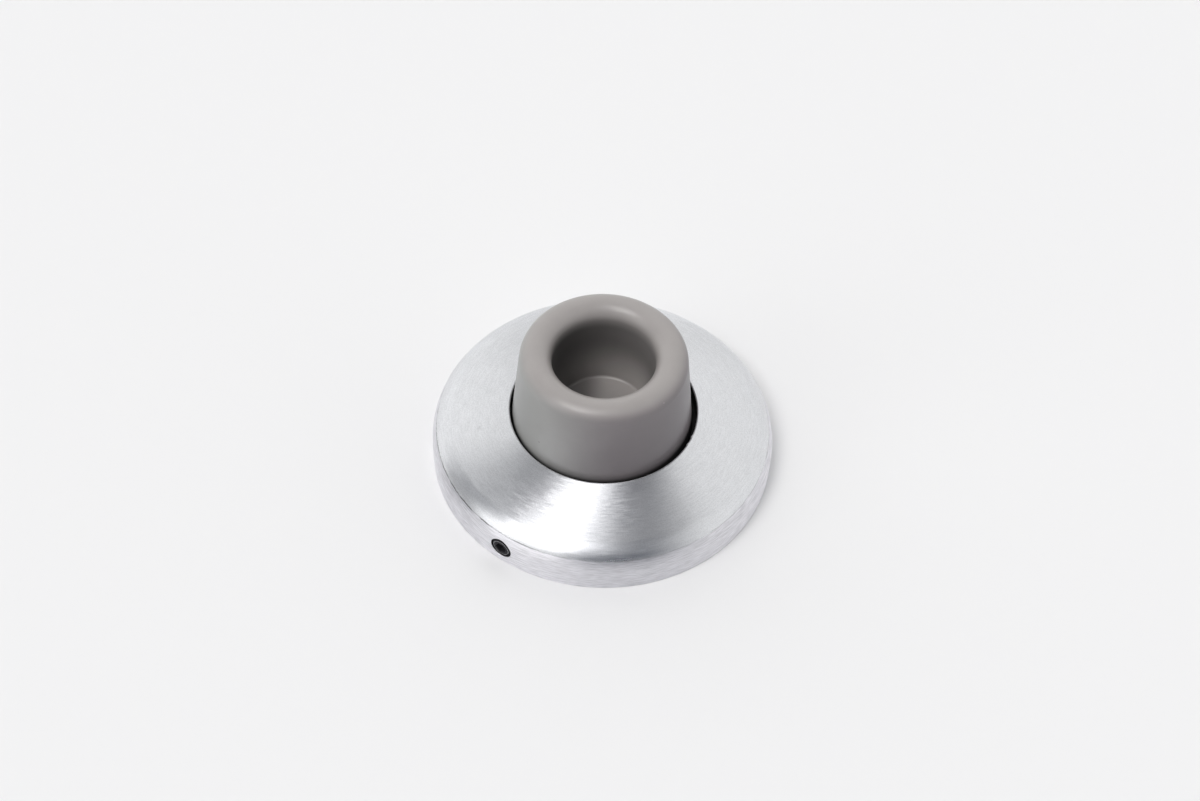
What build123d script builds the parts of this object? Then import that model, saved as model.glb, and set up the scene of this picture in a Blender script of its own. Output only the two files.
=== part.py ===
from build123d import *
import math
import os

os.makedirs("parts", exist_ok=True)

# Wall door stop: a turned metal rose, a rubber bumper trapped behind it, a steel plate that is
# screwed to the wall, and the set screw that draws the rose onto the plate.
# Millimetres, +Z out of the wall, the origin at the centre of the face that lies on the wall.

# Rose
rose_diameter = 63.5
rose_height = 12.1
cone_angle = 14.7
shoulder_radius = 5.0
hole_diameter = 34.5
rim_wall = 4.0
shell_wall = 2.3
inner_corner_radius = 2.7
hole_edge_radius = 0.3
rim_edge_radius = 0.25

# Bumper
bumper_projection = 27.75
bumper_taper = 5.5
bumper_gap = 0.8
bumper_shift_x = -0.28
bumper_shift_y = 0.2
flange_lap = 2.6
flange_side_gap = 0.8
flange_play = 0.15
flange_edge_radius = 0.5
lip_outer_radius = 2.9
lip_inner_radius = 2.8
lip_land = 0.1
cup_depth = 17.35
cup_floor_diameter = 16.8
cup_draft = 3.9
cup_corner_radius = 0.5

# Mounting plate
plate_thickness = 4.8
bevel_depth = 2.0
plate_edge_chamfer = 0.3
wall_hole_spacing = 32.0
wall_hole_diameter = 4.5
countersink_diameter = 8.4
countersink_angle = 82

# Set screw
screw_diameter = 4.17
screw_length = 4.76
screw_height = 3.7
screw_azimuth = 236.8
screw_recess = 0.1
screw_face_diameter = 3.3
screw_tip_diameter = 0.6
socket_width = 1.98
socket_depth = 2.0
socket_turn = 12
thread_gap = 0.05
screw_hole_chamfer = 0.15
seat_clearance = 0.03
bevel_bite = 0.4

# Sizes that follow from the rose: its cone meets the rim at a corner that is then rounded
rose_radius = rose_diameter / 2
hole_radius = hole_diameter / 2
cone_slope = math.tan(math.radians(cone_angle))
rim_inner_radius = rose_radius - rim_wall
shell_drop = shell_wall / math.cos(math.radians(cone_angle))


def cone_height(radius):
    """Height of the rose's conical face at a radius."""
    return rose_height - (radius - hole_radius) * cone_slope


flange_radius = hole_radius + flange_lap
seat_radius = flange_radius + flange_side_gap
ledge_height = cone_height(seat_radius) - shell_drop
rim_inner_height = cone_height(rim_inner_radius) - shell_drop

# The screw stands along a radius of the rose, and its axes are laid out on its outer face
screw_angle = math.radians(screw_azimuth)
outward = Vector(math.cos(screw_angle), math.sin(screw_angle), 0)
along_rim = Vector(-math.sin(screw_angle), math.cos(screw_angle), 0)
rim_face = Plane(outward * rose_radius + Vector(0, 0, screw_height), along_rim, outward)
screw_face = rim_face.offset(-screw_recess)
screw_radius = screw_diameter / 2
screw_tip_radius = screw_tip_diameter / 2
tip_distance = rose_radius - screw_recess - screw_length


# Rose: one turned shell with a thick rim, a round shoulder and a flat ledge behind the hole
with BuildPart() as rose:
    with BuildSketch(Plane.XZ) as rose_section:
        with BuildLine():
            Polyline(
                (hole_radius, ledge_height),
                (hole_radius, rose_height),
                (rose_radius, cone_height(rose_radius)),
                (rose_radius, 0),
                (rim_inner_radius, 0),
                (rim_inner_radius, rim_inner_height),
                (seat_radius, ledge_height),
                close=True,
            )
        make_face()
        fillet(rose_section.vertices().group_by(Axis.X)[-1].sort_by(Axis.Y)[-1], shoulder_radius)
        fillet(rose_section.vertices().group_by(Axis.X)[-1].sort_by(Axis.Y)[0], rim_edge_radius)
        fillet(rose_section.vertices().sort_by(Axis.Y)[-1], hole_edge_radius)
        inner_corner = Vector(rim_inner_radius, rim_inner_height)
        fillet(rose_section.vertices().sort_by_distance(inner_corner)[0], inner_corner_radius)
    revolve(axis=Axis.Z)
    with BuildSketch(rim_face):
        Circle(screw_radius + thread_gap)
    extrude(amount=-2 * rim_wall, mode=Mode.SUBTRACT)
    hole_mouth = rose.edges().sort_by_distance(rim_face.origin)[0]
    chamfer(hole_mouth, screw_hole_chamfer)
rose.part.label = "rose"
export_step(rose.part, "parts/rose.step")


# Mounting plate: a steel disc whose undercut edge the point of the set screw bears on
bevel_top = screw_height + bevel_bite
plate_radius = tip_distance - screw_tip_radius + bevel_bite - seat_clearance * math.sqrt(2)
foot_radius = plate_radius - bevel_depth
with BuildPart() as mounting_plate:
    with BuildSketch(Plane.XZ) as plate_section:
        with BuildLine():
            Polyline(
                (0, 0),
                (foot_radius, 0),
                (foot_radius, bevel_top - bevel_depth),
                (plate_radius, bevel_top),
                (plate_radius, plate_thickness),
                (0, plate_thickness),
                close=True,
            )
        make_face()
        outer_points = plate_section.vertices().sort_by(Axis.X)
        top_corner = outer_points.group_by(Axis.X)[-1].sort_by(Axis.Y)[-1]
        chamfer(top_corner, plate_edge_chamfer)
    revolve(axis=Axis.Z)
    with Locations(Plane.XY.offset(plate_thickness)):
        with GridLocations(wall_hole_spacing, 0, 2, 1):
            CounterSinkHole(
                radius=wall_hole_diameter / 2,
                counter_sink_radius=countersink_diameter / 2,
                counter_sink_angle=countersink_angle,
            )
mounting_plate.part.label = "mounting_plate"
export_step(mounting_plate.part, "parts/mounting_plate.step")


# Bumper: a tapered rubber buffer with a cup for the door's knob and a flange behind the ledge.
# It stands loose in the hole, a little off its centre, and rests on the plate.
bumper_height = bumper_projection - plate_thickness
bumper_slope = math.tan(math.radians(bumper_taper))
cup_slope = math.tan(math.radians(cup_draft))
flange_height = ledge_height - plate_thickness - flange_play
neck_radius = hole_radius - bumper_gap + (rose_height - plate_thickness - flange_height) * bumper_slope
lip_radius = hole_radius - bumper_gap - (bumper_projection - rose_height) * bumper_slope
cup_floor_radius = cup_floor_diameter / 2
mouth_radius = cup_floor_radius + cup_depth * cup_slope

# The two roundings of the lip share its width, so they shrink together when it is narrow
outer_reach = lip_outer_radius * math.tan(math.radians(90 - bumper_taper) / 2)
inner_reach = lip_inner_radius * math.tan(math.radians(90 - cup_draft) / 2)
lip_share = min(1, (lip_radius - mouth_radius - lip_land) / (outer_reach + inner_reach))

bumper_axis = Axis((bumper_shift_x, bumper_shift_y, plate_thickness), (0, 0, 1))
bumper_plane = Plane((bumper_shift_x, bumper_shift_y, plate_thickness), (1, 0, 0), (0, -1, 0))
with BuildPart() as bumper:
    with BuildSketch(bumper_plane) as bumper_section:
        with BuildLine():
            Polyline(
                (0, 0),
                (flange_radius, 0),
                (flange_radius, flange_height),
                (neck_radius, flange_height),
                (lip_radius, bumper_height),
                (mouth_radius, bumper_height),
                (cup_floor_radius, bumper_height - cup_depth),
                (0, bumper_height - cup_depth),
                close=True,
            )
        make_face()
        outer_lip = bumper_section.vertices().group_by(Axis.Y)[-1].sort_by(Axis.X)[-1]
        fillet(outer_lip, lip_outer_radius * lip_share)
        inner_lip = bumper_section.vertices().group_by(Axis.Y)[-1].sort_by(Axis.X)[0]
        fillet(inner_lip, lip_inner_radius * lip_share)
        cup_corner = Vector(cup_floor_radius, bumper_height - cup_depth)
        fillet(bumper_section.vertices().sort_by_distance(cup_corner)[0], cup_corner_radius)
        flange_corners = bumper_section.vertices().group_by(Axis.X)[-1]
        fillet(flange_corners, flange_edge_radius)
    revolve(axis=bumper_axis)
bumper.part.label = "bumper"
export_step(bumper.part, "parts/bumper.step")


# Set screw: headless, with a chamfered outer end, a hexagonal socket and a cone point
with BuildPart() as set_screw:
    with BuildSketch(screw_face):
        Circle(screw_radius)
    extrude(amount=-screw_length)
    screw_ends = set_screw.faces().filter_by(Plane(screw_face.origin, z_dir=outward))
    outer_end = screw_ends.sort_by_distance(screw_face.origin)[0]
    inner_end = screw_ends.sort_by_distance(screw_face.origin)[-1]
    chamfer(outer_end.edges(), (screw_diameter - screw_face_diameter) / 2)
    chamfer(inner_end.edges(), screw_radius - screw_tip_radius)
    with BuildSketch(screw_face):
        RegularPolygon(socket_width / 2, 6, major_radius=False, rotation=socket_turn)
    extrude(amount=-socket_depth, mode=Mode.SUBTRACT)
set_screw.part.label = "set_screw"
export_step(set_screw.part, "parts/set_screw.step")
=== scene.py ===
import math
from collections import namedtuple

import bmesh
import bpy
from bpy.props import FloatProperty, FloatVectorProperty, IntProperty, PointerProperty
from mathutils import Matrix, Vector


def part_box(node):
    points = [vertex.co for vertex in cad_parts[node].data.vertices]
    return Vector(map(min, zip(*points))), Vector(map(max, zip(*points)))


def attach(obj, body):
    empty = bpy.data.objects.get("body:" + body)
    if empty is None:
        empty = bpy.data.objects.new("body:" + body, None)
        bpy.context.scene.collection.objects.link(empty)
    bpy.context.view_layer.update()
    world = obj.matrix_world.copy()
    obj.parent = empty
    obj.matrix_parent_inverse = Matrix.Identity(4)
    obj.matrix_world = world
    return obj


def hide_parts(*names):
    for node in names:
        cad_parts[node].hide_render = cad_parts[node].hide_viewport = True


bl_info = {
    "name": "Wall Door Stop",
    "version": (1, 0, 0),
    "blender": (4, 5, 0),
    "location": "View3D > Sidebar > Door Stop",
    "description": "Models a wall door stop: a metal rose, a rubber bumper, a plate and a screw",
    "category": "Object",
}

MM = 0.001
SMOOTH_ANGLE = math.radians(38)

# Points closer than WELD are merged, and a point within NEAR of a place counts as being there
WELD = 1e-7
NEAR = 10 * WELD

# Bands along the long faces of a profile, and facets round the threads and the cutting tools
ROSE_BANDS = 6
BUMPER_BANDS = 5
THREAD_FACETS = 48
TOOL_FACETS = 64
DRILL_FACETS = 96

# A burr on the edge of the rose's hole: its depth below the edge, its reach and its height
BURR_DEPTH = 0.25 * MM
BURR_REACH = 0.35 * MM
BURR_HEIGHT = 0.12 * MM

# The brush marks begin to slant this far inside the rim and slant most at the hole, by this share
SLANT_MARGIN = 1.05 * MM
GREATEST_SLANT = -0.42

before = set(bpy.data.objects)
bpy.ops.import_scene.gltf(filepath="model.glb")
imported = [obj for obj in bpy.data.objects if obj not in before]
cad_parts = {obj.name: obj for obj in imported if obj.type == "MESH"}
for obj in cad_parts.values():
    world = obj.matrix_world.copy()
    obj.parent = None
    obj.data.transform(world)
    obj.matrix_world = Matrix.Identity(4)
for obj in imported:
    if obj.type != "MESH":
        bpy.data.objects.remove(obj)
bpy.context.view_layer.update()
_, ROSE_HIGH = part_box("rose")
BUMPER_LOW, BUMPER_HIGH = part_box("bumper")
_, PLATE_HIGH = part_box("mounting_plate")
SCREW_LOW, SCREW_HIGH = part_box("set_screw")
ORIGIN = Vector((0, 0, 0))

# A corner of a turned profile: its place, the radius that rounds it and the steps of that rounding
Corner = namedtuple("Corner", "radius height rounding steps", defaults=(0.0, 1))

# A noise: how fine it is, its detail and roughness, and the offset that makes it unlike the others
Noise = namedtuple("Noise", "scale detail roughness offset", defaults=((0, 0, 0),))
BELT_EDGE = Noise(45, 3.0, 0.6)
SEAM_WEAR = Noise(9, 3.0, 0.6, (0.4, 0, 0))
METAL_SPECKLE = Noise(5200, 1.0, 0.5)
RUBBER_BLOOM = Noise(260, 3.0, 0.55, (0.3, 0.1, 0.7))
RUBBER_GRAIN = Noise(9000, 3.0, 0.6)
ZINC_CLOUD = Noise(400, 4.0, 0.6)
STEEL_MOTTLE = Noise(2500, 3.0, 0.6)

# Nearly all of a noise lies in this range
NOISE_LOW, NOISE_HIGH = 0.3, 0.7

# Marks that run round an axis: how close they lie round it and along the profile, and their noise
Marks = namedtuple("Marks", "per_radian per_metre noise")
FINE_MARKS = Marks(14, 9000, Noise(1.0, 2.0, 0.6))
MEDIUM_MARKS = Marks(9, 3600, Noise(1.0, 3.0, 0.6, (3, 7, 0)))
BROAD_MARKS = Marks(2.2, 500, Noise(1.0, 2.0, 0.5, (9, 2, 0)))
BELT_MARKS = Marks(13, 5600, Noise(1.0, 1.5, 0.6, (1, 4, 0)))
TURNING_MARKS = Marks(3, 5000, Noise(1.0, 2.0, 0.6))

# How deep the relief of each finish is
GROOVE_DEPTH = 0.004 * MM
GRAIN_DEPTH = 0.003 * MM
TURNING_DEPTH = 0.006 * MM
MOTTLE_DEPTH = 0.004 * MM

# A soft-edged part of the studio as seen from the object. All but its light are angles in degrees.
Patch = namedtuple("Patch", "azimuth elevation half_width half_height side_blur top_blur light")

# The studio, painted in this order over its pale walls. The dark parts are a little blue.
GLOOM = (0.04, 0.05, 0.075)
STUDIO = {
    "back wall": Patch(140, 20, 45, 30, 30, 20, (1.1, 1.1, 1.1)),
    "ceiling": Patch(0, 90, 180, 23, 10, 6, (0.13, 0.13, 0.14)),
    "soft lamp": Patch(223, 74, 55, 23, 19, 21, (2.5, 2.5, 2.55)),
    "dark room": Patch(280, 15, 38, 38, 25, 26, GLOOM),
    "dark panel at the right": Patch(325, 78, 28, 19, 7, 5, GLOOM),
    "dark panel at the left": Patch(175, 52, 29, 14, 6, 5, GLOOM),
    "dark gap at the left": Patch(184, 3, 18, 22, 8, 25, (0.06, 0.065, 0.08)),
    "window at the left": Patch(207, 23, 12, 14, 8, 8, (1.78, 1.78, 1.78)),
    "core of the lamp": Patch(228, 57, 21, 10, 8, 5, (8.5, 8.4, 8.3)),
}


def size(name, description, default):
    """A length that a user may change, in metres."""
    return FloatProperty(
        name=name, description=description, default=default, min=0.0, unit="LENGTH", precision=5
    )


def position(name, description, *millimetres):
    """A point that a user may move, given in millimetres and kept in metres."""
    place = [MM * part for part in millimetres]
    return FloatVectorProperty(name=name, description=description, default=place, unit="LENGTH")


def facets(description, count):
    """The number of facets round a turned piece."""
    return IntProperty(name="Steps", description=description, default=count, min=24)


def angle(name, description, degrees):
    """An angle that a user may change, given in degrees and kept in radians."""
    return FloatProperty(
        name=name, description=description, default=math.radians(degrees), subtype="ANGLE"
    )


def tint(name, description, default):
    """A colour that a user may change."""
    return FloatVectorProperty(
        name=name, description=description, default=default, subtype="COLOR", min=0.0, max=1.0
    )


class RoseSizes(bpy.types.PropertyGroup):
    """Sizes of the turned metal rose"""

    radius: size("Radius", "From the axis to the straight rim", ROSE_HIGH.x)
    height: size("Height", "From the wall to the sharp edge of the hole", 12.1 * MM)
    cone_angle: angle("Cone angle", "Slope of the conical face", 14.7)
    shoulder: size("Shoulder", "Rounding between the cone and the rim", 5.0 * MM)
    hole_radius: size("Hole radius", "Hole that the bumper stands in", 17.25 * MM)
    hole_edge: size("Hole edge", "Rounding of the hole's upper edge", 0.3 * MM)
    rim_edge: size("Rim edge", "Rounding of the rim's edge at the wall", 0.25 * MM)
    rim_wall: size("Rim wall", "Thickness of the rim", 4.0 * MM)
    shell_wall: size("Shell wall", "Thickness of the conical shell", 2.3 * MM)
    belt_top: size("Belt top", "Height up to which a coarser belt brushed the rim", 7.09 * MM)
    seam_azimuth: angle("Seam azimuth", "Where the seam above the belt is deepest", 214)
    inner_corner: size("Inner corner", "Rounding between the rim and the shell inside", 2.7 * MM)
    seat_radius: size("Seat radius", "Outer radius of the flat ledge behind the hole", 20.65 * MM)
    steps: facets("Facets round the rose", 384)
    spot: position("Spot", "A faint dull spot on the cone", -22.64, -4.89, 10.55)
    first_burr: angle("First burr", "Where a burr stands on the hole's edge", 339.9)
    second_burr: angle("Second burr", "Where another burr stands on the hole's edge", 333.5)


class BumperSizes(bpy.types.PropertyGroup):
    """Sizes of the rubber bumper"""

    top: size("Top", "Height of the lip above the wall", BUMPER_HIGH.z)
    taper: angle("Taper", "Slope of the outer wall", 5.5)
    lip_radius: size("Lip radius", "Outer radius at the sharp corner of the lip", 14.94 * MM)
    lip_outer: size("Outer lip rounding", "Rounding of the lip's outer edge", 2.9 * MM)
    lip_inner: size("Inner lip rounding", "Rounding of the lip's inner edge", 2.8 * MM)
    cup_depth: size("Cup depth", "From the lip down to the floor of the cup", 17.35 * MM)
    cup_floor_radius: size("Cup floor radius", "Radius of the floor of the cup", 8.4 * MM)
    cup_draft: angle("Cup draft", "Slope of the cup's wall", 3.9)
    cup_corner: size("Cup corner", "Rounding between the cup's wall and floor", 0.5 * MM)
    flange_height: size("Flange height", "Thickness of the flange behind the rose", 3.88 * MM)
    flange_edge: size("Flange edge", "Rounding of the flange's edges", 0.5 * MM)
    steps: facets("Facets round the bumper", 256)
    dark_speck: position("Dark speck", "A speck of dirt on the wall", -11.27, -11.56, 15.72)
    pale_speck: position("Pale speck", "A speck of dust on the lip", 10.49, -10.01, 26.26)


class PlateSizes(bpy.types.PropertyGroup):
    """Sizes of the steel plate on the wall"""

    bevel_depth: size("Bevel depth", "Depth and height of the undercut edge", 2.0 * MM)
    bevel_top: size("Bevel top", "Height of the undercut's upper end", 4.1 * MM)
    edge: size("Edge", "Chamfer of the upper edge", 0.3 * MM)
    hole_spacing: size("Hole spacing", "Distance between the two screw holes", 32.0 * MM)
    hole_radius: size("Hole radius", "Radius of the screw holes", 2.25 * MM)
    sink_radius: size("Countersink radius", "Radius of the countersinks at the face", 4.2 * MM)
    sink_angle: angle("Countersink angle", "Full angle of the countersinks", 82)
    steps: facets("Facets round the plate", 192)


class ScrewSizes(bpy.types.PropertyGroup):
    """Sizes of the set screw and its tapped hole"""

    azimuth: angle("Azimuth", "Where the screw stands on the rim, from +X towards +Y", 236.8)
    height: size("Height", "Height of the screw's axis", (SCREW_LOW.z + SCREW_HIGH.z) / 2)
    radius: size("Radius", "Outer radius of the thread", (SCREW_HIGH.z - SCREW_LOW.z) / 2)
    length: size("Length", "From the flat outer end to the tip", 4.76 * MM)
    recess: size("Recess", "Depth of the outer end in the rim", 0.1 * MM)
    face_radius: size("Face radius", "Radius of the flat outer end", 1.65 * MM)
    tip_radius: size("Tip radius", "Radius of the flat on the cone point", 0.3 * MM)
    pitch: size("Pitch", "Rise of the thread in one turn", 0.794 * MM)
    thread_depth: size("Thread depth", "From the crest of the thread to its root", 0.487 * MM)
    thread_gap: size("Thread gap", "Clearance between the two threads", 0.05 * MM)
    socket_width: size("Socket width", "Hexagonal socket across its flats", 1.98 * MM)
    socket_depth: size("Socket depth", "Depth of the socket's straight walls", 2.0 * MM)
    socket_turn: angle("Socket turn", "How far the socket is turned", 12)
    mouth: size("Mouth", "Plain stretch at the mouth of the tapped hole", 0.4 * MM)
    mouth_edge: size("Mouth edge", "Bevel of the hole's mouth", 0.15 * MM)
    mouth_gap: size("Mouth gap", "How much wider the plain mouth is than the thread", 0.02 * MM)


class Finishes(bpy.types.PropertyGroup):
    """Colours of the four materials"""

    aluminium: tint("Aluminium", "Brushed face of the rose", (0.80, 0.81, 0.83))
    rubber: tint("Rubber", "Grey rubber of the bumper", (0.33, 0.31, 0.30))
    belt: tint("Belt", "Rim of the rose, brushed with a belt", (0.79, 0.785, 0.82))
    # Painted shade in the bore and the tapped hole, and the colour of the dark seam line
    hole_shade_and_seam: tint("Shade and seam", "Dirt in the holes and along the seam", (0.012, 0.012, 0.013))
    # Painted shade: the outer wall is painted darker and more purple than the lip
    shaded_rubber_wall: tint("Rubber wall", "Outer wall of the bumper", (0.176, 0.16, 0.166))
    # Painted light: the left side of the outer wall is painted paler, as if lit from the left
    lit_side_wall: tint("Lit wall", "Left side of the bumper's outer wall", (0.275, 0.276, 0.268))
    zinc: tint("Zinc", "Plating of the wall plate", (0.66, 0.67, 0.66))
    # Partly worn bare steel and partly painted highlight on the edge of the screw's outer end
    bare_steel_and_highlight: tint("Bare steel", "Worn edge of the set screw", (0.32, 0.32, 0.33))
    black_oxide: tint("Black oxide", "Finish of the set screw", (0.02, 0.02, 0.022))


class StageSettings(bpy.types.PropertyGroup):
    """Camera, floor and light"""

    camera_place: position("Camera place", "Where the camera stands", 0, -207.31, 270.37)
    camera_aim: position("Camera aim", "Point in the centre of the picture", -0.75, 11.21, 0)
    camera_roll: angle("Camera roll", "Turn about the line of sight", 2.116)
    lens: FloatProperty(name="Lens", description="Focal length in mm", default=54.0)
    sensor: FloatProperty(name="Sensor", description="Width of the sensor in mm", default=36.0)
    floor: tint("Floor", "Colour of the floor", (0.865, 0.865, 0.865))
    floor_size: size("Floor size", "Length of the floor's sides", 6.0)
    floor_drop: size("Floor drop", "Gap between the floor and what stands on it", 0.02 * MM)
    walls: FloatProperty(name="Walls", description="Light from the pale walls", default=0.9)


def clear_selection():
    """Goes to object mode with nothing selected."""
    if bpy.context.mode != "OBJECT":
        bpy.ops.object.mode_set(mode="OBJECT")
    bpy.ops.object.select_all(action="DESELECT")


def pick(piece):
    """Makes one piece the active object and the only selected one."""
    clear_selection()
    piece.select_set(True)
    bpy.context.view_layer.objects.active = piece


def edit(piece):
    """Opens one piece in edit mode with nothing selected in it."""
    pick(piece)
    bpy.ops.object.mode_set(mode="EDIT")
    bpy.ops.mesh.select_mode(type="EDGE")
    bpy.ops.mesh.select_all(action="DESELECT")


def apply_modifier(piece, kind, **settings):
    """Gives the piece a modifier with these settings and applies it."""
    pick(piece)
    modifier = piece.modifiers.new(kind, kind)
    for name, value in settings.items():
        setattr(modifier, name, value)
    bpy.ops.object.modifier_apply(modifier=modifier.name)


def weld_all():
    """Merges all points of the edited piece that share a place."""
    bpy.ops.mesh.select_all(action="SELECT")
    bpy.ops.mesh.remove_doubles(threshold=WELD)


def face_outwards():
    """Turns all faces of the edited piece outwards."""
    bpy.ops.mesh.select_all(action="SELECT")
    bpy.ops.mesh.normals_make_consistent(inside=False)


def close_ring(rise=0.0):
    """Extrudes the selected ring by a rise and draws its new edge together to a point."""
    bpy.ops.mesh.extrude_region_move(TRANSFORM_OT_translate={"value": (0, 0, rise)})
    bpy.ops.mesh.merge(type="CENTER")


def name_piece(name):
    """Names the object that was just added and puts its place into its mesh."""
    piece = bpy.context.active_object
    piece.name = piece.data.name = name
    bpy.ops.object.transform_apply()
    return piece


def pick_edges(piece, test):
    """Selects the edges whose two ends pass the test."""
    bpy.ops.mesh.select_all(action="DESELECT")
    mesh = bmesh.from_edit_mesh(piece.data)
    for edge in mesh.edges:
        edge.select_set(all(test(vertex.co) for vertex in edge.verts))
    mesh.select_flush_mode()
    bmesh.update_edit_mesh(piece.data)


def pick_ring(piece, centre, corner):
    """Selects the ring of edges that stands at one corner of a turned profile."""

    def on_ring(point):
        reach = math.hypot(point.x - centre.x, point.y - centre.y)
        return abs(reach - corner.radius) < NEAR and abs(point.z - corner.height) < NEAR

    pick_edges(piece, on_ring)


def turn_angle(before, corner, after):
    """How far a profile turns at a corner."""
    heading_in = Vector((corner.radius - before.radius, corner.height - before.height))
    heading_out = Vector((after.radius - corner.radius, after.height - corner.height))
    return heading_in.angle(heading_out)


def round_corners(piece, corners, centre, solid):
    """Rounds the corners of a turned piece."""
    before_first = Corner(0, corners[0].height) if solid else corners[-1]
    after_last = Corner(0, corners[-1].height) if solid else corners[0]
    around = [before_first, *corners, after_last]
    for before, corner, after in zip(around, corners, around[2:]):
        if corner.rounding:
            pick_ring(piece, centre, corner)
            half_turn = turn_angle(before, corner, after) / 2
            reach = corner.rounding * math.tan(half_turn)
            bpy.ops.mesh.bevel(offset=reach, segments=corner.steps)


def turn_piece(name, corners, steps, centre=ORIGIN, solid=True):
    """Turns a profile round an upright axis. A solid profile starts and ends on the axis."""
    first = corners[0]
    clear_selection()
    bpy.ops.mesh.primitive_circle_add(
        vertices=steps, radius=first.radius, location=(centre.x, centre.y, first.height)
    )
    piece = name_piece(name)
    edit(piece)
    bpy.ops.mesh.select_all(action="SELECT")
    path = corners if solid else [*corners, first]
    for start, end in zip(path, path[1:]):
        rise = (0, 0, end.height - start.height)
        share = end.radius / start.radius
        bpy.ops.mesh.extrude_region_move(TRANSFORM_OT_translate={"value": rise})
        bpy.ops.transform.resize(
            value=(share, share, 1), center_override=(centre.x, centre.y, end.height)
        )
    if solid:
        close_ring()
        pick_ring(piece, centre, first)
        close_ring()
    weld_all()
    face_outwards()
    round_corners(piece, corners, centre, solid)
    clear_selection()
    return piece


def combine(piece, tool, operation):
    """Cuts the piece with the tool, or keeps what they share, and deletes the tool."""
    apply_modifier(piece, "BOOLEAN", operation=operation, solver="EXACT", object=tool)
    bpy.data.objects.remove(tool)


def smooth_piece(piece):
    """Shades the piece smooth, with its flat faces kept flat right up to their rounded edges."""
    pick(piece)
    bpy.ops.object.shade_smooth_by_angle(angle=SMOOTH_ANGLE)
    apply_modifier(piece, "WEIGHTED_NORMAL", mode="FACE_AREA", weight=70, keep_sharp=True)


def finish_piece(piece, material, node):
    """Merges the doubles that cuts leave, adds the material and takes the CAD node's place."""
    edit(piece)
    weld_all()
    smooth_piece(piece)
    piece.data.materials.clear()
    piece.data.materials.append(material)
    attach(piece, "root")
    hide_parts(node)


def along(start, end, count):
    """Corners evenly spaced between two others, which keep a long face in narrow bands."""
    shares = [(step + 1) / (count + 1) for step in range(count)]
    run, rise = end.radius - start.radius, end.height - start.height
    return [Corner(start.radius + run * share, start.height + rise * share) for share in shares]


def level_direction(azimuth):
    """The level direction of an azimuth."""
    return Vector((math.cos(azimuth), math.sin(azimuth), 0))


def cone_height(rose, radius):
    """Height of the rose's conical face at a radius."""
    return rose.height - (radius - rose.hole_radius) * math.tan(rose.cone_angle)


def rose_profile(rose):
    """The rose's section: from the ledge behind the hole over the cone, down the rim and back."""
    shell_drop = rose.shell_wall / math.cos(rose.cone_angle)
    ledge = cone_height(rose, rose.seat_radius) - shell_drop
    inner_radius = rose.radius - rose.rim_wall
    inner_height = cone_height(rose, inner_radius) - shell_drop
    shoulder_height = cone_height(rose, rose.radius)
    # The bands of the cone keep clear of the roundings at its ends
    cone_start = rose.hole_radius + 3 * rose.hole_edge
    cone_end = rose.radius - 0.9 * rose.shoulder
    cone = along(
        Corner(cone_start, cone_height(rose, cone_start)),
        Corner(cone_end, cone_height(rose, cone_end)),
        ROSE_BANDS,
    )
    rim_top = Corner(rose.radius, shoulder_height - rose.shoulder)
    rim = along(rim_top, Corner(rose.radius, rose.rim_edge), ROSE_BANDS)
    small = 0.1 * MM
    return [
        Corner(rose.hole_radius, ledge, small, 2),
        Corner(rose.hole_radius, rose.height, rose.hole_edge, 6),
        *cone,
        Corner(rose.radius, shoulder_height, rose.shoulder, 24),
        *rim,
        Corner(rose.radius, 0, rose.rim_edge, 5),
        Corner(inner_radius, 0, small, 2),
        Corner(inner_radius, inner_height, rose.inner_corner, 10),
        Corner(rose.seat_radius, ledge),
    ]


def raise_burr(piece, rose, azimuth):
    """Pulls a few points of the hole's edge inwards, as a tiny burr."""
    outward = level_direction(azimuth)
    middle = outward * rose.hole_radius + Vector((0, 0, rose.height - BURR_DEPTH))
    edit(piece)
    bpy.ops.mesh.select_mode(type="VERT")
    mesh = bmesh.from_edit_mesh(piece.data)
    for vertex in mesh.verts:
        vertex.select_set((vertex.co - middle).length < BURR_REACH)
    bmesh.update_edit_mesh(piece.data)
    bpy.ops.transform.translate(value=-BURR_HEIGHT * outward)
    clear_selection()


def screw_frame(rose, screw):
    """The screw's own axes in the object: Z points out of the rim and starts at the tip."""
    outward = level_direction(screw.azimuth)
    up = Vector((0, 0, 1))
    along_rim = up.cross(outward)
    tip = outward * (rose.radius - screw.recess - screw.length) + up * screw.height
    axes = Matrix((along_rim, up, outward)).transposed().to_4x4()
    return Matrix.Translation(tip) @ axes


def place_on_rim(piece, rose, screw):
    """Moves a piece that was modelled at the origin to the screw's place in the rim."""
    pick(piece)
    piece.matrix_world = screw_frame(rose, screw)
    bpy.ops.object.transform_apply()


def thread_outline(crest, root, pitch):
    """One turn of a 60 degree thread as steps of radius and height, from root to root."""
    depth = crest - root
    flank = depth * math.tan(math.radians(60 / 2))
    crest_flat = pitch / 8
    root_flat = (pitch - crest_flat - 2 * flank) / 2
    return [(0, root_flat), (depth, flank), (0, crest_flat), (-depth, flank), (0, root_flat)]


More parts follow.
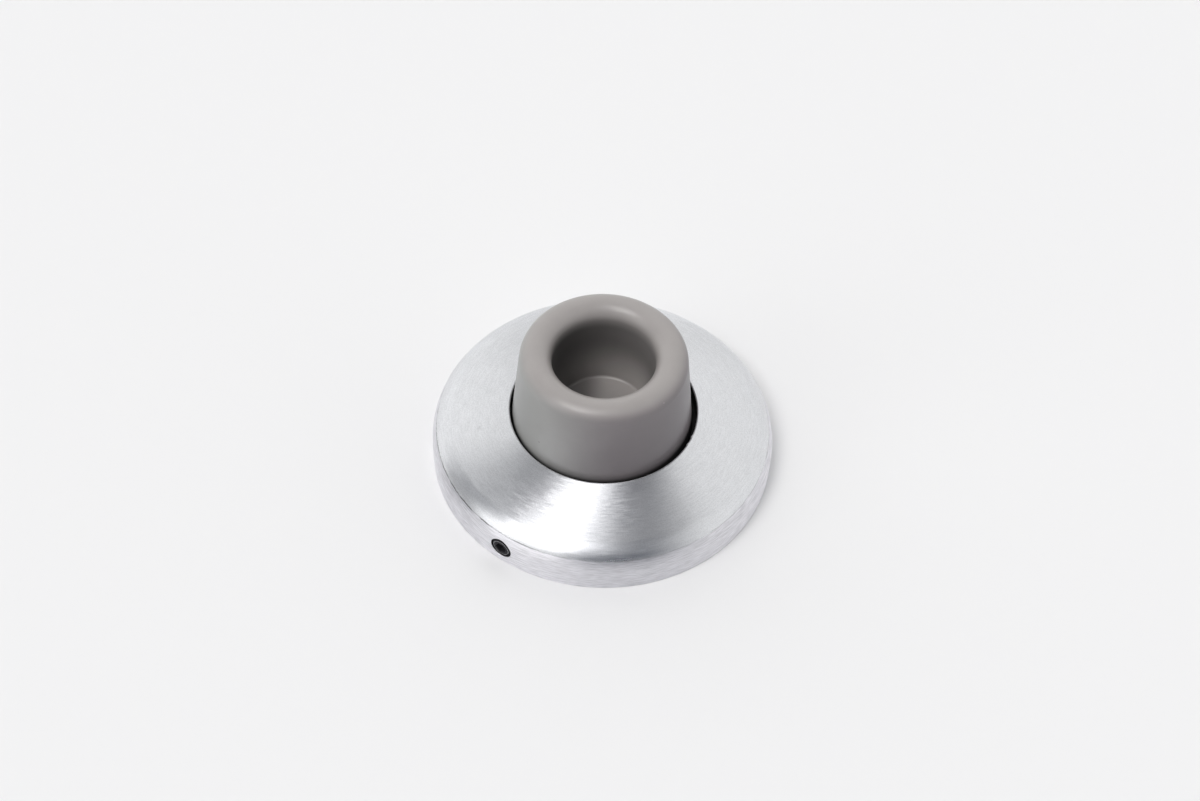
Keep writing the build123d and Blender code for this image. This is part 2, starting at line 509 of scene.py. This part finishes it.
def threaded_rod(name, crest, root, pitch, low, high):
    """A closed rod along Z with a real thread, cut flat at both ends."""
    spare_turns = 2
    first_turn = math.floor(low / pitch) - spare_turns
    turns = math.ceil((high - low) / pitch) + 2 * spare_turns
    clear_selection()
    bpy.ops.mesh.primitive_plane_add(size=root, location=(root, 0, first_turn * pitch))
    rod = name_piece(name)
    edit(rod)
    bpy.ops.mesh.select_mode(type="VERT")
    bpy.ops.mesh.select_all(action="SELECT")
    bpy.ops.mesh.merge(type="CENTER")
    for step_out, step_up in thread_outline(crest, root, pitch):
        step = (step_out, 0, step_up)
        bpy.ops.mesh.extrude_vertices_move(TRANSFORM_OT_translate={"value": step})
    apply_modifier(
        rod,
        "SCREW",
        axis="Z",
        screw_offset=pitch,
        iterations=turns,
        steps=THREAD_FACETS,
        render_steps=THREAD_FACETS,
    )
    edit(rod)
    weld_all()
    for height, side in ((low, -1), (high, 1)):
        bpy.ops.mesh.select_all(action="SELECT")
        bpy.ops.mesh.bisect(
            plane_co=(0, 0, height),
            plane_no=(0, 0, side),
            use_fill=True,
            clear_outer=True,
            threshold=WELD,
        )
    face_outwards()
    clear_selection()
    return rod


def screw_blank(screw):
    """The set screw's turned blank, with its cone point and chamfer, wider than the thread."""
    spare = 0.3 * MM
    wide = screw.radius + spare
    end_chamfer = screw.radius - screw.face_radius
    corners = [
        Corner(screw.tip_radius, 0),
        Corner(wide, wide - screw.tip_radius),
        Corner(wide, screw.length - end_chamfer - spare),
        Corner(screw.face_radius, screw.length, 0.06 * MM, 3),
    ]
    return turn_piece("screw_blank", corners, TOOL_FACETS)


def socket_tool(screw):
    """The hexagonal broach that cuts the socket, with the drilled cone at its bottom."""
    half_side_angle = math.radians(30)
    drill_slope = math.tan(math.radians(31))
    corner_radius = screw.socket_width / 2 / math.cos(half_side_angle)
    bottom = screw.length - screw.socket_depth
    over = 0.5 * MM
    depth = screw.socket_depth + over

    def at_bottom(point):
        return abs(point.z - bottom) < NEAR

    clear_selection()
    bpy.ops.mesh.primitive_cylinder_add(
        vertices=6,
        radius=corner_radius,
        depth=depth,
        location=(0, 0, screw.length + over - depth / 2),
        rotation=(0, 0, screw.socket_turn + half_side_angle),
    )
    tool = name_piece("socket_tool")
    edit(tool)
    pick_edges(tool, at_bottom)
    bpy.ops.mesh.delete(type="ONLY_FACE")
    pick_edges(tool, at_bottom)
    close_ring(-corner_radius * drill_slope)
    face_outwards()
    clear_selection()
    return tool


def hole_mouth_radius(screw):
    """Radius of the plain mouth of the tapped hole."""
    return screw.radius + screw.thread_gap + screw.mouth_gap


def tap_rim(piece, rose, screw):
    """Cuts the tapped hole through the rim, with a plain mouth and a bevelled edge."""
    crest = screw.radius + screw.thread_gap
    root = screw.radius - screw.thread_depth + screw.thread_gap
    surface = screw.length + screw.recess
    tap = threaded_rod("tap", crest, root, screw.pitch, -screw.mouth, surface + rose.rim_wall)
    mouth_radius = hole_mouth_radius(screw)
    bevel = surface - screw.mouth_edge
    corners = [
        Corner(mouth_radius, surface - screw.mouth),
        Corner(mouth_radius, bevel),
        Corner(mouth_radius + rose.rim_wall, bevel + rose.rim_wall),
    ]
    drill = turn_piece("drill", corners, DRILL_FACETS)
    for tool in (tap, drill):
        place_on_rim(tool, rose, screw)
        combine(piece, tool, "DIFFERENCE")


def copy_normals(piece, source, rose, screw):
    """Gives the rim round the tapped hole the smooth shading it had before the hole was cut."""
    margin = 2 * MM
    to_screw = screw_frame(rose, screw).inverted()
    # Just inside the outer edge of the bevel round the hole
    hole_edge = screw.radius + screw.thread_gap + 0.8 * screw.mouth_edge

    def beside_hole(point):
        local = to_screw @ point
        on_rim = math.hypot(point.x, point.y) > rose.radius - margin and point.z > rose.rim_edge
        near_face = local.z > screw.length - margin
        return on_rim and near_face and math.hypot(local.x, local.y) > hole_edge

    chosen = [vertex.index for vertex in piece.data.vertices if beside_hole(vertex.co)]
    group = piece.vertex_groups.new(name="beside_hole")
    group.add(chosen, 1.0, "REPLACE")
    apply_modifier(
        piece,
        "DATA_TRANSFER",
        object=source,
        use_loop_data=True,
        data_types_loops={"CUSTOM_NORMAL"},
        loop_mapping="POLYINTERP_NEAREST",
        vertex_group=group.name,
    )
    bpy.data.objects.remove(source)


def bumper_profile(bumper):
    """The bumper's section: from its base over the flange, up the wall and down into the cup."""
    base = BUMPER_LOW.z
    flange_radius = (BUMPER_HIGH.x - BUMPER_LOW.x) / 2
    flange_top = base + bumper.flange_height
    neck = bumper.lip_radius + (bumper.top - flange_top) * math.tan(bumper.taper)
    neck = Corner(neck, flange_top, 0.2 * MM, 3)
    mouth = bumper.cup_floor_radius + bumper.cup_depth * math.tan(bumper.cup_draft)
    outer_lip = Corner(bumper.lip_radius, bumper.top, bumper.lip_outer, 16)
    inner_lip = Corner(mouth, bumper.top, bumper.lip_inner, 16)
    cup_floor = bumper.top - bumper.cup_depth
    cup_corner = Corner(bumper.cup_floor_radius, cup_floor, bumper.cup_corner, 5)
    return [
        Corner(flange_radius, base, bumper.flange_edge, 5),
        Corner(flange_radius, flange_top, bumper.flange_edge, 5),
        neck,
        *along(neck, outer_lip, BUMPER_BANDS)[:-1],
        outer_lip,
        inner_lip,
        *along(inner_lip, cup_corner, BUMPER_BANDS)[1:],
        cup_corner,
    ]


def sink_tool(plate, place):
    """The countersink that cuts one screw hole of the plate."""
    over = 0.5 * MM
    top = PLATE_HIGH.z
    sink_depth = (plate.sink_radius - plate.hole_radius) / math.tan(plate.sink_angle / 2)
    corners = [
        Corner(plate.hole_radius, -over),
        Corner(plate.hole_radius, top - sink_depth),
        Corner(plate.sink_radius, top),
        Corner(plate.sink_radius, top + over),
    ]
    return turn_piece("sink_tool", corners, TOOL_FACETS, place)


def soften_holes(piece, plate, places):
    """Takes the sharp edges off the plate's screw holes."""
    softening, facet_gap = 0.08 * MM, 0.01 * MM
    edge_rings = ((PLATE_HIGH.z, plate.sink_radius), (0, plate.hole_radius))

    def on_hole(point):
        reach = min(math.hypot(point.x - place.x, point.y - place.y) for place in places)
        return any(
            abs(point.z - height) < NEAR and abs(reach - radius) < facet_gap
            for height, radius in edge_rings
        )

    edit(piece)
    pick_edges(piece, on_hole)
    bpy.ops.mesh.bevel(offset=softening, segments=2)
    clear_selection()


def set_inputs(tree, node, inputs):
    """Fills inputs of a node: the socket of another node is linked and a plain value is set."""
    for key, value in inputs.items():
        if isinstance(value, bpy.types.NodeSocket):
            tree.links.new(value, node.inputs[key])
        else:
            node.inputs[key].default_value = value


def add_node(tree, kind, inputs, **settings):
    """Adds a shader node with these inputs and settings."""
    node = tree.nodes.new(kind)
    for name, value in settings.items():
        setattr(node, name, value)
    set_inputs(tree, node, inputs)
    return node


def calculate(tree, operation, *values):
    """The result of a math node."""
    inputs = dict(enumerate(values))
    return add_node(tree, "ShaderNodeMath", inputs, operation=operation).outputs[0]


def times(tree, first, *others):
    """The product of some values."""
    for other in others:
        first = calculate(tree, "MULTIPLY", first, other)
    return first


def vector_math(tree, operation, *values, output="Vector"):
    """The vector that a vector math node gives, or its number where the output is Value."""
    inputs = dict(enumerate(values))
    return add_node(tree, "ShaderNodeVectorMath", inputs, operation=operation).outputs[output]


def scale_vector(tree, vector, share):
    """A vector made longer or shorter by a value."""
    inputs = {0: vector, "Scale": share}
    return add_node(tree, "ShaderNodeVectorMath", inputs, operation="SCALE").outputs[0]


def remap(tree, value, low, high, to_low=0.0, to_high=1.0, kind="SMOOTHSTEP"):
    """A value moved from one range to another, held inside it."""
    inputs = {
        "Value": value, "From Min": low, "From Max": high, "To Min": to_low, "To Max": to_high
    }
    return add_node(tree, "ShaderNodeMapRange", inputs, interpolation_type=kind).outputs["Result"]


def fade(tree, value, low, high):
    """A share that is 1 below a range of the value, falls inside it and is 0 above it."""
    return remap(tree, value, low, high, 1.0, 0.0)


def spread(tree, noise_value, to_low, to_high):
    """A noise spread evenly over a range."""
    return remap(tree, noise_value, NOISE_LOW, NOISE_HIGH, to_low, to_high, "LINEAR")


def noise(tree, vector, kind):
    """Noise between 0 and 1."""
    moved = vector_math(tree, "ADD", vector, kind.offset)
    inputs = {
        "Vector": moved, "Scale": kind.scale, "Detail": kind.detail, "Roughness": kind.roughness
    }
    return add_node(tree, "ShaderNodeTexNoise", inputs).outputs["Fac"]


def blend(tree, share, first, second):
    """A value between two others, the second one where the share is 1."""
    inputs = {0: share, 2: first, 3: second}
    return add_node(tree, "ShaderNodeMix", inputs, data_type="FLOAT").outputs[0]


def mix_colour(tree, share, first, second, mode="MIX"):
    """A colour between two others, the second one where the share is 1."""
    inputs = {0: share, 6: first, 7: second}
    return add_node(tree, "ShaderNodeMix", inputs, data_type="RGBA", blend_type=mode).outputs[2]


def scale_colour(tree, colour, share):
    """A colour made lighter or darker by a value."""
    factor = add_node(tree, "ShaderNodeCombineColor", {0: share, 1: share, 2: share}).outputs[0]
    return mix_colour(tree, 1.0, colour, factor, "MULTIPLY")


def opaque(colour):
    """A stored colour with its fourth channel."""
    return (*colour, 1.0)


def add_bump(tree, height, depth):
    """A bump whose height runs from 0 to depth, in metres."""
    inputs = {"Height": height, "Strength": 1.0, "Distance": depth}
    return add_node(tree, "ShaderNodeBump", inputs).outputs["Normal"]


def new_material(name):
    """An empty node material with its shader, and the object's coordinates in metres."""
    material = bpy.data.materials.new(name)
    material.use_nodes = True
    tree = material.node_tree
    tree.nodes.clear()
    output = tree.nodes.new("ShaderNodeOutputMaterial")
    shader = tree.nodes.new("ShaderNodeBsdfPrincipled")
    tree.links.new(shader.outputs["BSDF"], output.inputs["Surface"])
    place = tree.nodes.new("ShaderNodeTexCoord").outputs["Object"]
    return material, tree, shader, place


def turned_coordinates(tree, place):
    """The unit vector out from the axis, the radius and the height of a turned surface."""
    flat = vector_math(tree, "MULTIPLY", place, (1, 1, 0))
    outward = vector_math(tree, "NORMALIZE", flat)
    radius = vector_math(tree, "LENGTH", flat, output="Value")
    height = add_node(tree, "ShaderNodeSeparateXYZ", {0: place}).outputs["Z"]
    return outward, radius, height


def scratches(tree, outward, along_profile, marks):
    """Noise drawn out into marks that run round the axis."""
    around = scale_vector(tree, outward, marks.per_radian)
    across = calculate(tree, "MULTIPLY", along_profile, marks.per_metre)
    upward = add_node(tree, "ShaderNodeCombineXYZ", {"Z": across}).outputs[0]
    return noise(tree, vector_math(tree, "ADD", around, upward), marks.noise)


def groove_direction(tree, outward, radius, wobble, rose):
    """Direction of the brush marks: round the axis, and at a growing slant towards the hole."""
    around = vector_math(tree, "CROSS_PRODUCT", (0, 0, 1), outward)
    level = scale_vector(tree, outward, -math.cos(rose.cone_angle))
    inward = vector_math(tree, "ADD", level, (0, 0, math.sin(rose.cone_angle)))
    start, end = rose.radius - SLANT_MARGIN, rose.hole_radius
    slant = remap(tree, radius, start, end, 0.0, GREATEST_SLANT, "LINEAR")
    slanted = scale_vector(tree, inward, calculate(tree, "ADD", slant, wobble))
    groove = vector_math(tree, "ADD", around, slanted)
    spaces = {"convert_from": "OBJECT", "convert_to": "WORLD"}
    return add_node(tree, "ShaderNodeVectorTransform", {0: groove}, **spaces).outputs[0]


def add_spot(tree, colour, place, middle, inner, outer, shade):
    """A small round spot, darker or paler than the colour round it."""
    distance = vector_math(tree, "DISTANCE", place, middle, output="Value")
    return scale_colour(tree, colour, remap(tree, distance, inner, outer, shade, 1.0))


def from_screw_axis(tree, place, screw):
    """Distance of a point from the set screw's axis."""
    offset = vector_math(tree, "SUBTRACT", place, (0, 0, screw.height))
    across = vector_math(tree, "CROSS_PRODUCT", offset, level_direction(screw.azimuth))
    return vector_math(tree, "LENGTH", across, output="Value")


def along_screw_axis(tree, place, screw):
    """How far out a point lies along the set screw's axis, from the middle of the rose."""
    outward = level_direction(screw.azimuth)
    return vector_math(tree, "DOT_PRODUCT", place, outward, output="Value")


def belt_seam(tree, outward, above_belt, rose):
    """The thin dark line at the top of the belt's marks, deepest at one side of the rim."""
    core, reach = 0.03 * MM, 0.15 * MM
    line = fade(tree, calculate(tree, "ABSOLUTE", above_belt), core, reach)
    deepest = level_direction(rose.seam_azimuth)
    facing = vector_math(tree, "DOT_PRODUCT", outward, deepest, output="Value")
    nearby = remap(tree, facing, 0.7, 0.95, 0.25, 1.0)
    patchy = remap(tree, noise(tree, outward, SEAM_WEAR), 0.35, 0.55, 0.3, 1.0)
    return times(tree, patchy, nearby, line)


def rose_painted_hole_shade(tree, place, radius, height, rose, screw):
    """Where shade is painted on the rose: in its bore, below the bright edge, and in the tapped
    hole.
    """
    bright_edge, soft = rose.height - 0.42 * MM, 0.1 * MM
    below_edge = fade(tree, height, bright_edge - soft, bright_edge + soft)
    bore, film = rose.hole_radius, 0.06 * MM
    in_bore = times(tree, fade(tree, radius, bore + film / 3, bore + film), below_edge)
    mouth, film = hole_mouth_radius(screw), 0.05 * MM
    in_tapping = fade(tree, from_screw_axis(tree, place, screw), mouth, mouth + film)
    on_screw_side = calculate(tree, "GREATER_THAN", along_screw_axis(tree, place, screw), 0.0)
    in_tapping = times(tree, in_tapping, on_screw_side)
    return calculate(tree, "MAXIMUM", in_bore, in_tapping)


def brushed_aluminium(finishes, rose, screw):
    """Satin aluminium: the face is brushed round the axis and the rim with a coarser belt."""
    material, tree, shader, place = new_material("satin_aluminium")
    outward, radius, height = turned_coordinates(tree, place)
    profile = calculate(tree, "SUBTRACT", radius, height)
    belt_profile = calculate(tree, "SUBTRACT", rose.radius, profile)
    fine = scratches(tree, outward, profile, FINE_MARKS)
    medium = scratches(tree, outward, profile, MEDIUM_MARKS)
    broad = scratches(tree, outward, profile, BROAD_MARKS)
    belt = scratches(tree, outward, belt_profile, BELT_MARKS)
    streaks = times(tree, calculate(tree, "ADD", fine, medium), 0.5)

    ragged, soft, shoulder_rise = 0.05 * MM, 0.04 * MM, 1.9 * MM
    low, high = rose.belt_top - ragged, rose.belt_top + ragged
    belt_top = spread(tree, noise(tree, outward, BELT_EDGE), low, high)
    above_belt = calculate(tree, "SUBTRACT", height, belt_top)
    face = remap(tree, above_belt, -soft, soft)
    cone = remap(tree, height, rose.belt_top, rose.belt_top + shoulder_rise)
    shoulder_rough, cone_rough, belt_rough = 0.28, 0.36, 0.38
    roughness = blend(tree, face, belt_rough, blend(tree, cone, shoulder_rough, cone_rough))
    roughness = calculate(tree, "ADD", roughness, spread(tree, broad, -0.015, 0.015))

    speckle = spread(tree, noise(tree, place, METAL_SPECKLE), 0.92, 1.08)
    face_share = times(tree, remap(tree, streaks, 0.35, 0.65, 0.91, 1.05, "LINEAR"), speckle)
    belt_share = remap(tree, belt, 0.36, 0.64, 0.85, 1.11, "LINEAR")
    face_colour = scale_colour(tree, opaque(finishes.aluminium), face_share)
    belt_colour = scale_colour(tree, opaque(finishes.belt), belt_share)
    colour = mix_colour(tree, face, belt_colour, face_colour)
    colour = add_spot(tree, colour, place, rose.spot, 0.15 * MM, 0.55 * MM, 0.88)
    seam = times(tree, belt_seam(tree, outward, above_belt, rose), 0.8)
    colour = mix_colour(tree, seam, colour, opaque(finishes.hole_shade_and_seam))
    # The bore and the tapped hole are painted nearly black, dull and not metallic, as painted
    # shade
    painted_hole_shade = rose_painted_hole_shade(tree, place, radius, height, rose, screw)
    wobble = spread(tree, medium, -0.16, 0.16)
    set_inputs(tree, shader, {
        "Base Color": mix_colour(tree, painted_hole_shade, colour, opaque(finishes.hole_shade_and_seam)),
        "Roughness": calculate(tree, "ADD", roughness, times(tree, painted_hole_shade, 0.3)),
        "Metallic": calculate(tree, "SUBTRACT", 1.0, painted_hole_shade),
        "Normal": add_bump(tree, blend(tree, face, belt, streaks), GROOVE_DEPTH),
        "Tangent": groove_direction(tree, outward, radius, wobble, rose),
        "Anisotropic": 0.9,
        "Anisotropic Rotation": 0.25,
        "Specular IOR Level": 0.1,
    })
    return material


def grey_rubber(finishes, bumper):
    """Smooth moulded rubber with painted light and shade: its outer wall is painted darker than
    its lip and paler at the left, and its cup and the part inside the rose are painted dark.
    """
    material, tree, shader, place = new_material("grey_rubber")
    centre = (BUMPER_LOW + BUMPER_HIGH) / 2
    from_centre = vector_math(tree, "SUBTRACT", place, (centre.x, centre.y, 0))
    side = add_node(tree, "ShaderNodeSeparateXYZ", {0: from_centre}).outputs["X"]
    _, radius, height = turned_coordinates(tree, from_centre)
    depth = calculate(tree, "SUBTRACT", bumper.top, height)

    in_cup = fade(tree, radius, 9.9 * MM, 10.7 * MM)
    floor_depth = bumper.cup_depth
    at_floor = remap(tree, depth, floor_depth - 0.6 * MM, floor_depth - 0.1 * MM)
    cup_floor = times(tree, in_cup, at_floor)
    in_cup = times(tree, in_cup, remap(tree, depth, 0.8 * MM, 4.5 * MM))
    cup_wall = calculate(tree, "SUBTRACT", in_cup, cup_floor)
    below_lip = remap(tree, depth, 0.0, 2.1 * MM)
    outer_wall = times(tree, remap(tree, radius, 11.5 * MM, 13 * MM), below_lip)
    # Painted shade: the part of the bumper inside the rose's hole is painted nearly black
    in_rose = fade(tree, height, ROSE_HIGH.z - 1.4 * MM, ROSE_HIGH.z - 0.1 * MM)
    in_rose = times(tree, in_rose, remap(tree, radius, 12 * MM, 13 * MM))

    bloom = noise(tree, place, RUBBER_BLOOM)
    share = remap(tree, bloom, NOISE_LOW, NOISE_HIGH, 1.08, 1.12)
    # Painted shade in the cup: the wall is darkest just below the lip and at the left, and the
    # floor has a painted shadow over its left side
    lit_side = remap(tree, side, -8 * MM, 8 * MM, 0.45, 1.45, "LINEAR")
    painted_cup_shade = times(tree, remap(tree, depth, 7 * MM, 16 * MM, 0.3, 0.8), lit_side)
    painted_floor_shadow = remap(tree, side, -4 * MM, 1 * MM, 0.5, 1.0)
    for where, shade in ((cup_wall, painted_cup_shade), (cup_floor, painted_floor_shadow), (in_rose, 0.06)):
        share = times(tree, share, blend(tree, where, 1.0, shade))

    # Painted shade and light on the outer wall: darker than the lip, and paler towards the left
    painted_light_left = fade(tree, side, -14 * MM, 4 * MM)
    wall = mix_colour(tree, painted_light_left, opaque(finishes.shaded_rubber_wall), opaque(finishes.lit_side_wall))
    colour = mix_colour(tree, outer_wall, opaque(finishes.rubber), wall)
    colour = scale_colour(tree, colour, share)
    for speck, shade in ((bumper.dark_speck, 0.55), (bumper.pale_speck, 1.35)):
        colour = add_spot(tree, colour, place, speck, 0.08 * MM, 0.22 * MM, shade)
    roughness = remap(tree, bloom, 0.2, 0.8, 0.3, 0.34)
    dull = times(tree, calculate(tree, "MAXIMUM", cup_wall, in_rose), 0.45)
    set_inputs(tree, shader, {
        "Base Color": colour,
        "Roughness": calculate(tree, "ADD", roughness, dull),
        "Normal": add_bump(tree, noise(tree, place, RUBBER_GRAIN), GRAIN_DEPTH),
        "Specular IOR Level": 0.5,
    })
    return material


def zinc_plated_steel(finishes):
    """Dull zinc plating over a turned and stamped steel disc."""
    material, tree, shader, place = new_material("zinc_plated_steel")
    outward, radius, height = turned_coordinates(tree, place)
    profile = calculate(tree, "SUBTRACT", radius, height)
    turning = scratches(tree, outward, profile, TURNING_MARKS)
    cloud = noise(tree, place, ZINC_CLOUD)
    dark = opaque([0.86 * channel for channel in finishes.zinc])
    cloudy = remap(tree, cloud, NOISE_LOW, NOISE_HIGH)
    set_inputs(tree, shader, {
        "Base Color": mix_colour(tree, cloudy, dark, opaque(finishes.zinc)),
        "Roughness": remap(tree, cloud, 0.25, 0.75, 0.34, 0.5),
        "Normal": add_bump(tree, turning, TURNING_DEPTH),
        "Metallic": 1.0,
    })
    return material


def black_steel(finishes, rose, screw):
    """Black oxide on steel, a little oily, with a grey metallic ring on the edge of its outer end
    that is partly worn bare steel and partly painted highlight.
    """
    material, tree, shader, place = new_material("black_steel")
    mottle = noise(tree, place, STEEL_MOTTLE)
    pale = opaque([1.4 * channel for channel in finishes.black_oxide])
    mottled = remap(tree, mottle, 0.5, 0.8)
    colour = mix_colour(tree, mottled, opaque(finishes.black_oxide), pale)
    # The grey ring at the edge of the outer end: partly worn bare steel, partly a painted
    # highlight where the rounded edge catches the light
    ring, reach = screw.face_radius - 0.05 * MM, from_screw_axis(tree, place, screw)
    from_ring = calculate(tree, "ABSOLUTE", calculate(tree, "SUBTRACT", reach, ring))
    patchy = remap(tree, mottle, 0.35, 0.55, 0.4, 1.0)
    face, along_axis = rose.radius - screw.recess, along_screw_axis(tree, place, screw)
    at_face = remap(tree, along_axis, face - 0.3 * MM, face - 0.2 * MM)
    edge = times(tree, fade(tree, from_ring, 0.03 * MM, 0.1 * MM), patchy, at_face)
    set_inputs(tree, shader, {
        "Base Color": mix_colour(tree, edge, colour, opaque(finishes.bare_steel_and_highlight)),
        "Roughness": remap(tree, mottle, 0.2, 0.8, 0.35, 0.5),
        "Metallic": edge,
        "Normal": add_bump(tree, mottle, MOTTLE_DEPTH),
        "Specular IOR Level": 0.05,
    })
    return material


def add_camera(stage):
    """The camera, which looks down at the rose as in the photograph."""
    data = bpy.data.cameras.new("camera")
    data.lens = stage.lens
    data.sensor_width = stage.sensor
    data.clip_start = 0.005
    data.clip_end = 20.0
    camera = bpy.data.objects.new("camera", data)
    bpy.context.scene.collection.objects.link(camera)
    place, aim = Vector(stage.camera_place), Vector(stage.camera_aim)
    turn = (aim - place).to_track_quat("-Z", "Y").to_matrix().to_4x4()
    roll = Matrix.Rotation(stage.camera_roll, 4, "Z")
    camera.matrix_world = Matrix.Translation(place) @ turn @ roll
    bpy.context.scene.camera = camera


def add_floor(stage):
    """A plain pale floor."""
    clear_selection()
    bpy.ops.mesh.primitive_plane_add(size=stage.floor_size, location=(0, 0, -stage.floor_drop))
    floor = name_piece("floor")
    material, tree, shader, _ = new_material("floor_paint")
    set_inputs(tree, shader, {"Base Color": opaque(stage.floor), "Roughness": 0.9})
    floor.data.materials.append(material)


def within(tree, offset, half_size, blur):
    """A share that is 1 within half a size on either side and fades over a blur, in degrees."""
    inner, outer = math.radians(half_size - blur), math.radians(half_size + blur)
    return fade(tree, calculate(tree, "ABSOLUTE", offset), inner, outer)


def paint_patch(tree, light, azimuth, elevation, patch):
    """Paints one soft-edged part of the studio over the light that comes from each direction."""
    turned = calculate(tree, "SUBTRACT", azimuth, math.radians(patch.azimuth))
    turned = calculate(tree, "WRAP", turned, math.pi, -math.pi)
    raised = calculate(tree, "SUBTRACT", elevation, math.radians(patch.elevation))
    across = within(tree, turned, patch.half_width, patch.side_blur)
    upright = within(tree, raised, patch.half_height, patch.top_blur)
    return mix_colour(tree, times(tree, across, upright), light, opaque(patch.light))


def light_world(stage):
    """A pale studio with a big soft lamp at the front left and a dark room behind the camera.

    The camera sees only the pale walls. The rest lights the object and shows in its metal.
    """
    world = bpy.data.worlds.new("studio")
    bpy.context.scene.world = world
    world.use_nodes = True
    tree = world.node_tree
    direction = tree.nodes.new("ShaderNodeTexCoord").outputs["Generated"]
    parts = add_node(tree, "ShaderNodeSeparateXYZ", {0: direction}).outputs
    azimuth = calculate(tree, "ARCTAN2", parts["Y"], parts["X"])
    elevation = calculate(tree, "ARCSINE", parts["Z"])
    light = walls = opaque([stage.walls] * 3)
    for patch in STUDIO.values():
        light = paint_patch(tree, light, azimuth, elevation, patch)
    camera_sees = tree.nodes.new("ShaderNodeLightPath").outputs["Is Camera Ray"]
    seen = mix_colour(tree, camera_sees, light, walls)
    set_inputs(tree, tree.nodes["Background"], {"Color": seen})


class DOORSTOP_OT_add_rose(bpy.types.Operator):
    """Model the brushed rose with its tapped hole"""

    bl_idname = "door_stop.add_rose"
    bl_label = "Add Rose"

    def execute(self, context):
        rose, screw = context.scene.door_stop_rose, context.scene.door_stop_screw
        piece = turn_piece("rose_brushed", rose_profile(rose), rose.steps, solid=False)
        for azimuth in (rose.first_burr, rose.second_burr):
            raise_burr(piece, rose, azimuth)
        smooth_piece(piece)
        bpy.ops.object.duplicate()
        uncut = context.active_object
        tap_rim(piece, rose, screw)
        material = brushed_aluminium(context.scene.door_stop_finishes, rose, screw)
        finish_piece(piece, material, "rose")
        copy_normals(piece, uncut, rose, screw)
        return {"FINISHED"}


class DOORSTOP_OT_add_bumper(bpy.types.Operator):
    """Model the rubber bumper with its cup and flange"""

    bl_idname = "door_stop.add_bumper"
    bl_label = "Add Bumper"

    def execute(self, context):
        bumper = context.scene.door_stop_bumper
        centre = (BUMPER_LOW + BUMPER_HIGH) / 2
        piece = turn_piece("bumper_rubber", bumper_profile(bumper), bumper.steps, centre)
        material = grey_rubber(context.scene.door_stop_finishes, bumper)
        finish_piece(piece, material, "bumper")
        return {"FINISHED"}


class DOORSTOP_OT_add_mounting_plate(bpy.types.Operator):
    """Model the wall plate with its undercut edge and two countersunk holes"""

    bl_idname = "door_stop.add_mounting_plate"
    bl_label = "Add Mounting Plate"

    def execute(self, context):
        plate = context.scene.door_stop_plate
        radius, top = PLATE_HIGH.x, PLATE_HIGH.z
        foot = radius - plate.bevel_depth
        corners = [
            Corner(foot, 0, 0.1 * MM, 2),
            Corner(foot, plate.bevel_top - plate.bevel_depth),
            Corner(radius, plate.bevel_top, 0.06 * MM, 2),
            Corner(radius, top - plate.edge),
            Corner(radius - plate.edge, top),
        ]
        piece = turn_piece("mounting_plate_zinc", corners, plate.steps)
        places = [Vector((side * plate.hole_spacing / 2, 0, 0)) for side in (-1, 1)]
        for place in places:
            combine(piece, sink_tool(plate, place), "DIFFERENCE")
        soften_holes(piece, plate, places)
        material = zinc_plated_steel(context.scene.door_stop_finishes)
        finish_piece(piece, material, "mounting_plate")
        return {"FINISHED"}


class DOORSTOP_OT_add_set_screw(bpy.types.Operator):
    """Model the set screw with its thread, cone point and socket"""

    bl_idname = "door_stop.add_set_screw"
    bl_label = "Add Set Screw"

    def execute(self, context):
        rose, screw = context.scene.door_stop_rose, context.scene.door_stop_screw
        root, pitch = screw.radius - screw.thread_depth, screw.pitch
        low, high = -pitch, screw.length + pitch
        piece = threaded_rod("set_screw_black", screw.radius, root, pitch, low, high)
        combine(piece, screw_blank(screw), "INTERSECT")
        combine(piece, socket_tool(screw), "DIFFERENCE")
        place_on_rim(piece, rose, screw)
        material = black_steel(context.scene.door_stop_finishes, rose, screw)
        finish_piece(piece, material, "set_screw")
        return {"FINISHED"}


class DOORSTOP_OT_set_stage(bpy.types.Operator):
    """Set up the camera, the floor and the studio light"""

    bl_idname = "door_stop.set_stage"
    bl_label = "Set Stage"

    def execute(self, context):
        stage = context.scene.door_stop_stage
        context.scene.view_settings.view_transform = "Standard"
        add_camera(stage)
        add_floor(stage)
        light_world(stage)
        return {"FINISHED"}


class DOORSTOP_PT_panel(bpy.types.Panel):
    """Door stop tools"""

    bl_label = "Wall Door Stop"
    bl_space_type = "VIEW_3D"
    bl_region_type = "UI"
    bl_category = "Door Stop"

    def draw(self, context):
        for operator in OPERATORS:
            self.layout.operator(operator.bl_idname)


GROUPS = {
    "door_stop_rose": RoseSizes,
    "door_stop_bumper": BumperSizes,
    "door_stop_plate": PlateSizes,
    "door_stop_screw": ScrewSizes,
    "door_stop_finishes": Finishes,
    "door_stop_stage": StageSettings,
}
OPERATORS = (
    DOORSTOP_OT_set_stage,
    DOORSTOP_OT_add_rose,
    DOORSTOP_OT_add_bumper,
    DOORSTOP_OT_add_mounting_plate,
    DOORSTOP_OT_add_set_screw,
)
CLASSES = (*GROUPS.values(), *OPERATORS, DOORSTOP_PT_panel)


def register():
    """Registers the classes and gives the scene its settings."""
    for cls in CLASSES:
        bpy.utils.register_class(cls)
    for name, group in GROUPS.items():
        setattr(bpy.types.Scene, name, PointerProperty(type=group))


def unregister():
    """Takes the settings and the classes away again."""
    for name in GROUPS:
        delattr(bpy.types.Scene, name)
    for cls in reversed(CLASSES):
        bpy.utils.unregister_class(cls)


def main():
    """Sets the stage and models the four pieces."""
    register()
    bpy.ops.door_stop.set_stage()
    bpy.ops.door_stop.add_rose()
    bpy.ops.door_stop.add_bumper()
    bpy.ops.door_stop.add_mounting_plate()
    bpy.ops.door_stop.add_set_screw()


if __name__ == "__main__":
    main()
